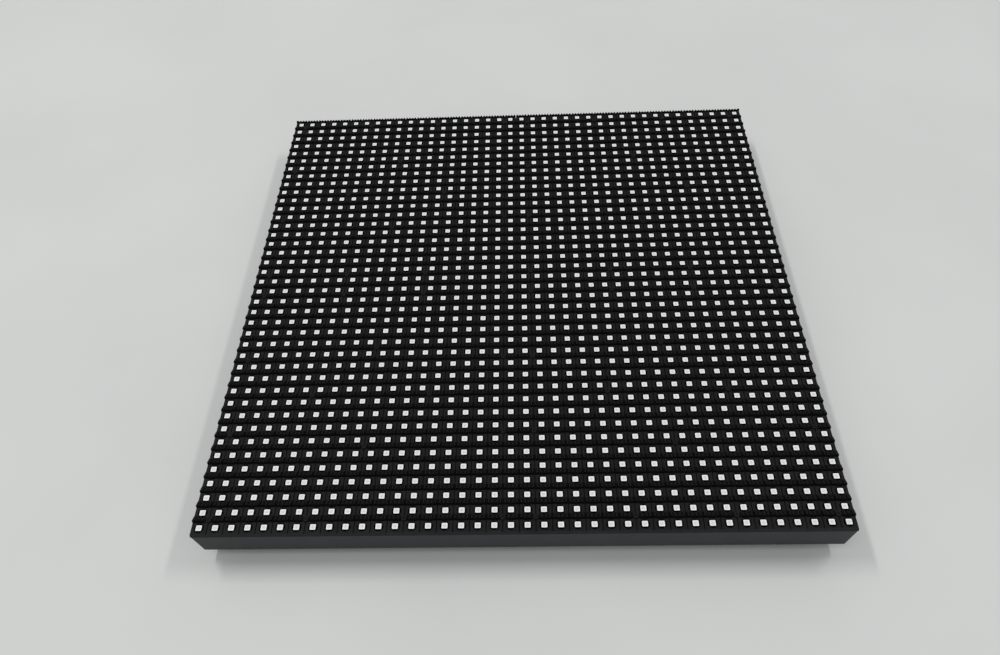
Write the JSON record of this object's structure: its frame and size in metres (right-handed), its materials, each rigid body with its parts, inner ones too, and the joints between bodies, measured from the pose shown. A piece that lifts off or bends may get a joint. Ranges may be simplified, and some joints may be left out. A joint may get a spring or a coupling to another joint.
{
  "type": "led display module",
  "caption": "Square outdoor LED display module: louvred black masks with notched visors over a grid of white-faced LEDs, in a dark grey case with a ribbed, gasketed back.",
  "frame": {"origin": "middle of the rear gasket's face, on the plane that the module rests on", "axes": "+Z out of the display face, +X to the right of the picture, +Y towards its top"},
  "size_m": [0.32, 0.32, 0.0286],
  "materials": {
    "mask_plastic": "matte black moulded plastic",
    "black_steel": "black oxide",
    "led_body": "pale moulded LED package",
    "board_laminate": "black solder mask",
    "case_plastic": "dark grey fine-textured moulding",
    "seal_rubber": "matte black foam rubber",
    "insert_brass": "turned brass",
    "header_plastic": "black moulded plastic",
    "pin_gold": "gold-plated pin",
    "power_plastic": "off-white nylon",
    "pin_tin": "tin-plated pin",
    "chip_epoxy": "black moulded epoxy with tinned leads",
    "can_aluminium": "satin can",
    "chip_ceramic": "tan ceramic",
    "resistor_ceramic": "black glazed ceramic"
  },
  "bodies": {
    "root": {"mask_left": "mask_plastic", "mask_right": "mask_plastic", "mask_screws": "black_steel", "leds": "led_body", "circuit_board": "board_laminate", "rear_case": "case_plastic", "rear_gasket": "seal_rubber", "threaded_inserts": "insert_brass", "data_in_header": "header_plastic", "data_in_pins": "pin_gold", "data_out_header": "header_plastic", "data_out_pins": "pin_gold", "power_header": "power_plastic", "power_pins": "pin_tin", "driver_ics": "chip_epoxy", "buffer_ics": "chip_epoxy", "decoder_ics": "chip_epoxy", "row_switches": "chip_epoxy", "capacitor_cans": "can_aluminium", "capacitor_bases": "header_plastic", "chip_capacitors": "chip_ceramic", "chip_resistors": "resistor_ceramic"}
  },
  "joints": []
}
